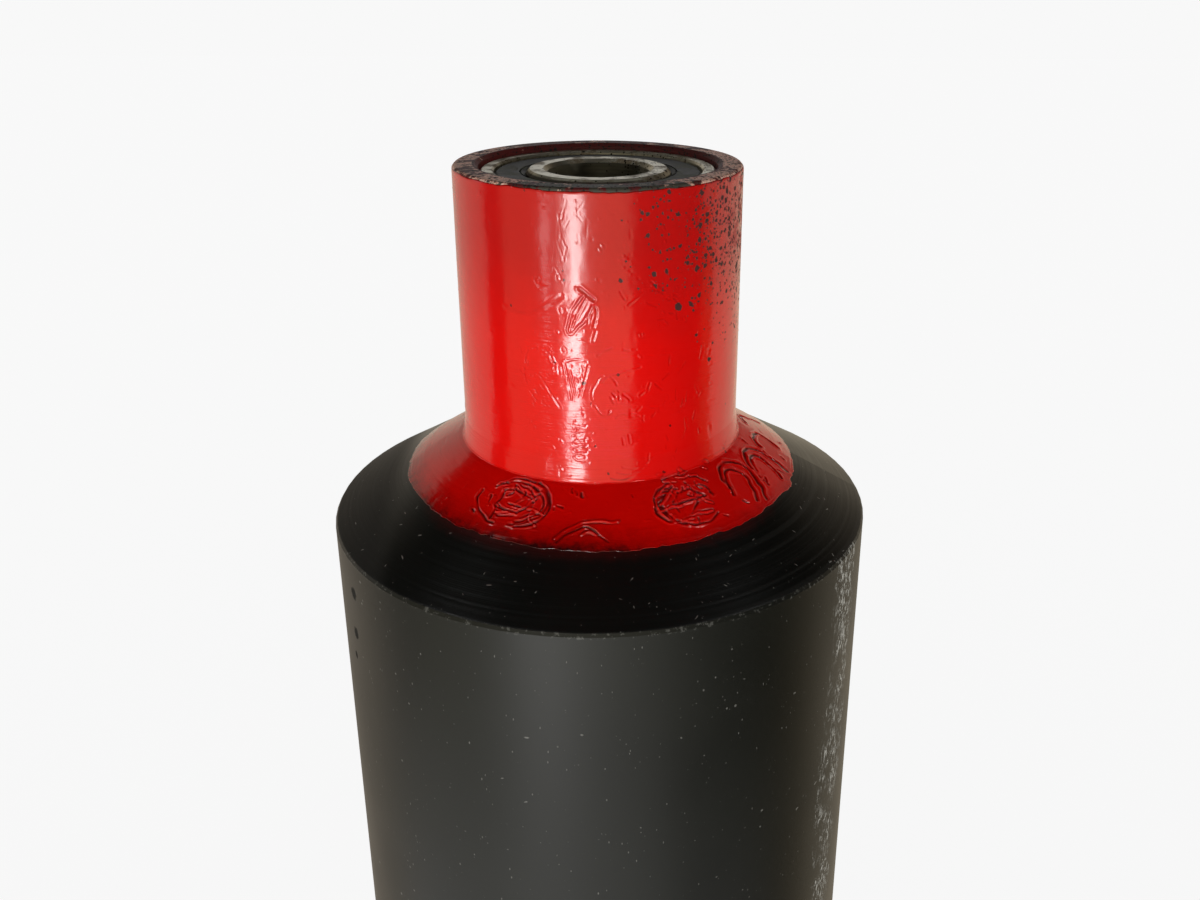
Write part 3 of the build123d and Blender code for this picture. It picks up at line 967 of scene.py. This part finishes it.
def stage_material(name, surface):
    """A material whose surface is what the function surface makes of the output of its plain shader."""
    material = bpy.data.materials.new(name)
    material.use_nodes = True
    tree = material.node_tree
    plain = Socket(tree, tree.nodes["Principled BSDF"].outputs[0])
    tree.links.new(surface(plain).output, tree.nodes["Material Output"].inputs["Surface"])
    return material


def pale_ground(plain):
    """A dull surface that shows floor_glow for its share to direct rays, and is lit for the rest."""
    values = plain.output.node.inputs
    values["Base Color"].default_value = (*floor_colour, 1)
    values["Roughness"].default_value = 0.9
    values["Specular IOR Level"].default_value = 0.0
    share = seen_directly(plain.tree) * floor_glow_share
    return plain.node("MixShader", {}, {0: share, 1: plain, 2: glowing(plain, floor_glow)})


def stage_surface(name, points, faces, material):
    mesh = bpy.data.meshes.new(name)
    mesh.from_pydata([tuple(p) for p in points], [], faces)
    mesh.materials.append(material)
    card = add_object(name, mesh)
    return card


def hide(thing, *rays):
    """Hides an object from kinds of rays."""
    for ray in rays:
        setattr(thing, "visible_" + ray, False)


floor_reach = 6.0
corners = [(x * floor_reach, y * floor_reach, 0) for x, y in ((-1, -1), (1, -1), (1, 1), (-1, 1))]
stage_surface("floor", corners, [(0, 1, 2, 3)], stage_material("pale_floor", pale_ground))
print("floor", 2 * floor_reach, "m wide")

# %% [markdown]
# ## Cards and lamps
# Gloss shows what stands round it. Curved grey and black cards give the broad bands on the neck and the
# cover, and a black disc overhead keeps the top faces dark. The low cards at the back lean outward from near
# the roller's foot, so that a reflection that looks down meets them and not the pale floor. The cards work
# for reflections, and the camera never sees them.

# %% Cards


def card_material(name, colour):
    return stage_material(name, lambda plain: glowing(plain, colour))


def curved_card(name, start, end, radius, low, high, colour, foot=None):
    """Part of a cylinder round the roller: azimuth from start to end, height from low to high. With foot,
    the radius of its lower edge, it leans outward like part of a funnel."""
    steps = 24
    turn = np.radians(np.linspace(start, end, steps))
    x, y = np.sin(turn), -np.cos(turn)
    points = [(r * a, r * b, z) for r, z in ((foot or radius, low), (radius, high)) for a, b in zip(x, y)]
    faces = [(i, i + 1, steps + i + 1, steps + i) for i in range(steps - 1)]
    card = stage_surface(name, points, faces, card_material(name, colour))
    hide(card, "camera", "diffuse", "shadow", "transmission")


floor_gap, eye_level, card_top = 0.002, 0.43, 0.95
near_foot = 0.12
curved_card("cream_card_front", -33, 24, 0.90, floor_gap, card_top, (1.0, 0.92, 0.64))
curved_card("grey_card_left", -79, -33, 0.50, floor_gap, card_top, (0.50, 0.45, 0.30))
curved_card("black_card_left", -97, -79, 0.50, floor_gap, card_top, (0.02, 0.015, 0.01))
curved_card("low_card_rear_left", -168, -97, 0.50, floor_gap, eye_level, (0.66, 0.57, 0.46), near_foot)
curved_card("high_card_rear_left", -168, -126, 0.50, eye_level, 0.70, (0.50, 0.45, 0.37))
curved_card("dim_card_rear_left", -128, -112, 0.49, eye_level, 0.76, (0.22, 0.20, 0.16))
curved_card("black_card_right", 24, 86, 0.30, floor_gap, card_top, (0, 0, 0))
curved_card("brown_card_right", 84, 98, 0.50, floor_gap, eye_level, (0.20, 0.14, 0.05), near_foot)
curved_card("low_card_rear_right", 98, 168, 0.50, floor_gap, eye_level, (0.74, 0.64, 0.48), near_foot)
curved_card("high_card_rear_right", 84, 168, 0.50, eye_level, card_top, (0.26, 0.22, 0.17))
disc_sides = 48
disc_height = rim_height + 0.20
disc_radius = 0.46
turn = np.radians(np.linspace(0, 360, disc_sides + 1)[:-1])
disc = [(disc_radius * math.sin(t), disc_radius * math.cos(t), disc_height) for t in turn]
overhead_material = card_material("overhead", (0, 0, 0))
overhead = stage_surface("black_card_overhead", disc, [tuple(range(disc_sides))], overhead_material)
hide(overhead, "camera", "transmission")

# %% [markdown]
# A tall strip lamp at the left gives the long white streak on the neck, with a short, faint one beside it.
# The panel at the right lights the dust on the rubber but doesn't show in the gloss. Five small lamps above
# the rim do the opposite: they show only as glints in the wrinkles of the enamel.

# %% Lamps


def panel_lamp(name, azimuth, distance, low, high, width, radiance, lean=0.0, only=None):
    """An upright panel that faces the axis, its top leaning right by lean degrees. Its power is radiance
    times area times pi. With only="gloss" it gives just its reflection, with only="light" all but that."""
    light = bpy.data.lights.new(name, "AREA")
    light.shape = "RECTANGLE"
    light.size = width
    light.size_y = high - low
    light.energy = radiance * width * (high - low) * math.pi
    lamp = add_object(name, light)
    turn = math.radians(azimuth)
    lamp.location = (distance * math.sin(turn), -distance * math.cos(turn), (low + high) / 2)
    lamp.rotation_euler = (math.radians(90), math.radians(lean), turn)
    lamp.visible_camera = False
    lamp.visible_diffuse = only != "gloss"
    lamp.visible_glossy = only != "light"


panel_lamp("strip_lamp", -20.5, 0.75, 0.01, 0.36, 0.14, 20.0, lean=9.0)
panel_lamp("short_strip_left", -41, 0.45, 0.305, 0.350, 0.03, 8.0, only="gloss")
panel_lamp("soft_panel_right", 105, 0.24, rim_height + 0.08, rim_height + 0.19, 0.26, 1.7, only="light")
glint_heights = (rim_height + 0.135, rim_height + 0.155)
for azimuth in (-75, -40, -8, 35, 70):
    panel_lamp(f"glint_lamp_{azimuth}", azimuth, 0.17, *glint_heights, 0.025, 26.0, only="gloss")

# %% [markdown]
# ## Finish
# With the Standard view transform colours come out as written.

# %% Set the view transform
bpy.context.scene.view_settings.view_transform = "Standard"
